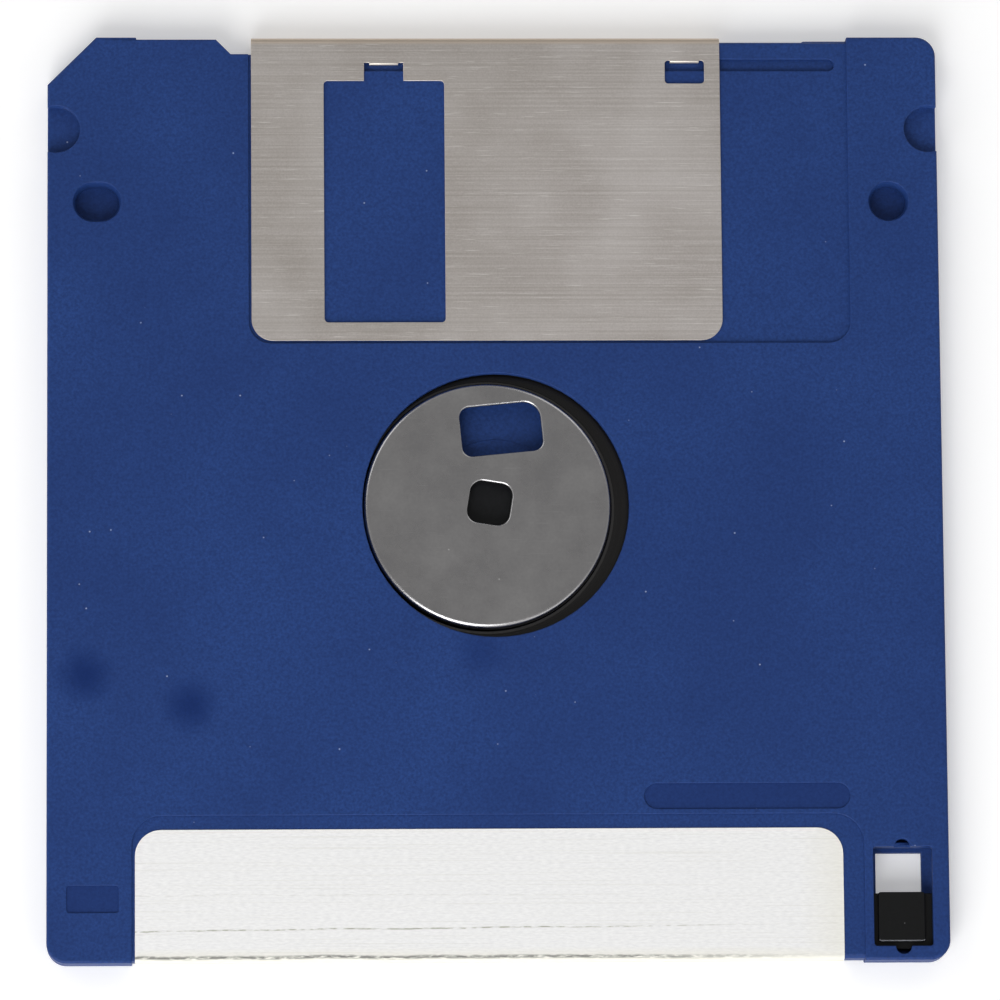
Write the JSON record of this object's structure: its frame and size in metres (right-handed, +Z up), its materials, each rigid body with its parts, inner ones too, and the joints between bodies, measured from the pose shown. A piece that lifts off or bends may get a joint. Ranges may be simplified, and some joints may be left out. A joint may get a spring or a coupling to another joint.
{
  "type": "floppy disk",
  "caption": "Slim square plastic data cartridge with a sliding metal shutter, a round drive hub on a thin magnetic disk, and a write-protect slider.",
  "frame": {"origin": "middle of the lower outer face, which is the face away from the hub", "axes": "+X along the front edge, +Y towards the shutter end, +Z up out of the hub side"},
  "size_m": [0.09, 0.094, 0.0033],
  "materials": {
    "case_plastic": "fine moulded matte, dark blue",
    "shutter_steel": "lightly brushed stainless sheet",
    "spring_steel": "drawn wire",
    "coated_film": "smooth dark brown-black coating",
    "hub_steel": "smooth satin pressed steel",
    "adhesive": "thin clear adhesive",
    "liner_nonwoven": "soft nonwoven fibre",
    "lifter_plastic": "thin polyester leaf",
    "wear_pad_plastic": "dark slippery plastic",
    "slider_plastic": "moulded black",
    "label_paper": "coated white paper"
  },
  "bodies": {
    "case": {"front_shell": "case_plastic", "rear_shell": "case_plastic", "shutter_spring": "spring_steel", "front_liner": "liner_nonwoven", "rear_liner": "liner_nonwoven", "liner_lifter": "lifter_plastic", "centre_wear_pad": "wear_pad_plastic", "label": "label_paper"},
    "shutter": {"shutter": "shutter_steel"},
    "disk": {"magnetic_disk": "coated_film", "hub": "hub_steel", "hub_adhesive_ring": "adhesive"},
    "slider": {"write_protect_slider": "slider_plastic"}
  },
  "joints": [
    {"name": "shutter_slide", "type": "slide", "parent": "case", "child": "shutter", "axis": [1, 0, 0], "range_m": [0, 0.012], "stiffness_N_per_m": 40, "springref_m": -0.008, "deforming": ["shutter_spring"]},
    {"name": "disk_spin", "type": "hinge", "parent": "case", "child": "disk", "pos_m": [-0.00085, -0.00105, 0.00165], "axis": [0, 0, 1], "continuous": true},
    {"name": "write_protect_slide", "type": "slide", "parent": "case", "child": "slider", "axis": [0, 1, 0], "range_m": [0, 0.00445]}
  ]
}
